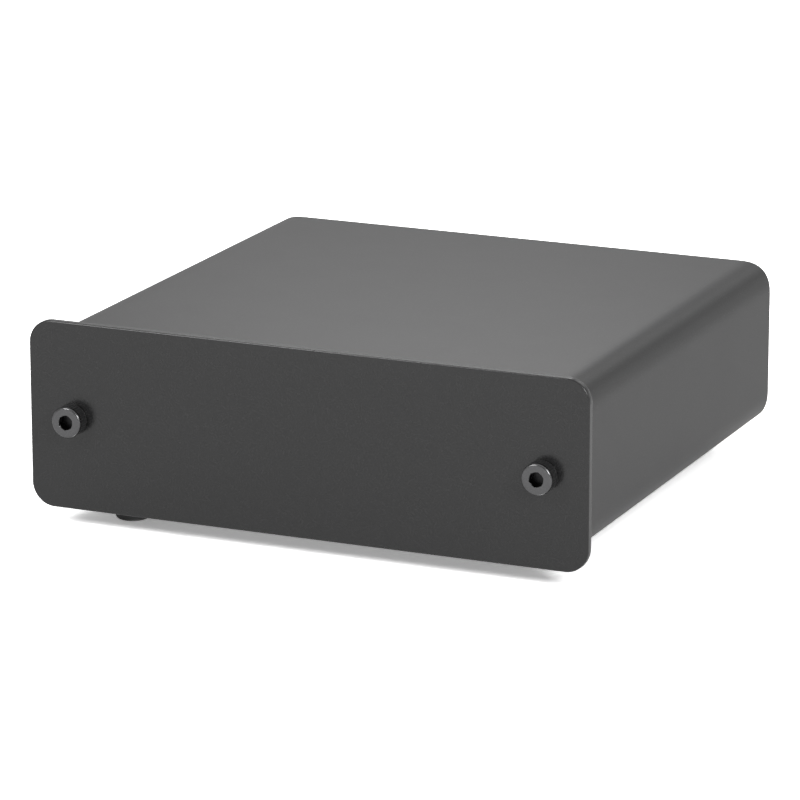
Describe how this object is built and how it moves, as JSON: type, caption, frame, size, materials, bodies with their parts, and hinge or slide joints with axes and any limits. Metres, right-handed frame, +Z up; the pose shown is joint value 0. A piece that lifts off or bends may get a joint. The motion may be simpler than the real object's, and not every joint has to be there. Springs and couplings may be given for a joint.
{
  "type": "phono preamp",
  "caption": "Small phono preamp: flat satin black case with a screwed-on front panel, phono sockets, power inlet and ground nut at the rear, and gain sliders under its base.",
  "frame": {"origin": "on the surface that the feet stand on, under the middle of the whole box, from the front screws' faces to the ends of the rear sockets", "axes": "+X to the right seen from the front, +Y from the front panel to the rear panel, +Z up"},
  "size_m": [0.107, 0.11, 0.038],
  "materials": {
    "panel_anodised": "satin",
    "case_coating": "satin",
    "screw_black": "satin",
    "foot_rubber": "matte",
    "board_green": "satin",
    "plated_brass": "polished",
    "insulator_white": "satin",
    "ring_white": "satin",
    "ring_red": "satin",
    "moulding_black": "satin",
    "tinned_metal": "satin",
    "wire_green": "satin",
    "slider_white": "satin",
    "package_black": "satin",
    "capacitor_blue": "gloss",
    "capacitor_black": "gloss",
    "capacitor_red": "gloss",
    "resistor_blue": "satin"
  },
  "bodies": {
    "main_case": {"front_panel": "panel_anodised", "case_sleeve": "case_coating", "rear_panel": "panel_anodised", "front_screw_left": "screw_black", "front_screw_right": "screw_black", "rear_screws": "screw_black", "front_left_foot": "foot_rubber", "front_right_foot": "foot_rubber", "rear_left_foot": "foot_rubber", "rear_right_foot": "foot_rubber", "circuit_board": "board_green", "left_input_socket": "plated_brass", "right_input_socket": "plated_brass", "left_output_socket": "plated_brass", "right_output_socket": "plated_brass", "socket_insulators": "insulator_white", "socket_contacts": "plated_brass", "left_channel_rings": "ring_white", "right_channel_rings": "ring_red", "input_socket_housing": "moulding_black", "output_socket_housing": "moulding_black", "power_inlet_body": "moulding_black", "power_inlet_pin": "tinned_metal", "power_inlet_spring": "tinned_metal", "ground_stud": "plated_brass", "ground_lug": "tinned_metal", "ground_wire": "wire_green", "ground_hex_nut": "plated_brass", "left_gain_switch": "tinned_metal", "right_gain_switch": "tinned_metal", "op_amps": "package_black", "transistors": "package_black", "voltage_regulators": "package_black", "smoothing_capacitors": "capacitor_blue", "coupling_capacitors": "capacitor_black", "film_capacitors": "capacitor_red", "resistors": "resistor_blue", "diodes": "package_black"},
    "left_slider": {"left_gain_slider": "slider_white"},
    "right_slider": {"right_gain_slider": "slider_white"},
    "clamp_washer": {"ground_washer": "plated_brass"},
    "thumb_nut": {"ground_thumb_nut": "plated_brass"}
  },
  "joints": [
    {"name": "left_gain_slide", "type": "slide", "parent": "main_case", "child": "left_slider", "axis": [1, 0, 0], "range_m": [0, 0.002]},
    {"name": "right_gain_slide", "type": "slide", "parent": "main_case", "child": "right_slider", "axis": [1, 0, 0], "range_m": [0, 0.002]},
    {"name": "clamp_washer_travel", "type": "slide", "parent": "main_case", "child": "clamp_washer", "axis": [0, 1, 0], "range_m": [0, 0.0028]},
    {"name": "thumb_nut_turn", "type": "hinge", "parent": "clamp_washer", "child": "thumb_nut", "pos_m": [0.00565, 0.0517, 0.0208], "axis": [0, 1, 0], "range_deg": [0, 1440]}
  ],
  "couplings": [
    {"joint": "thumb_nut_turn", "follows": "clamp_washer_travel", "rad_per_m": 8975.9}
  ]
}
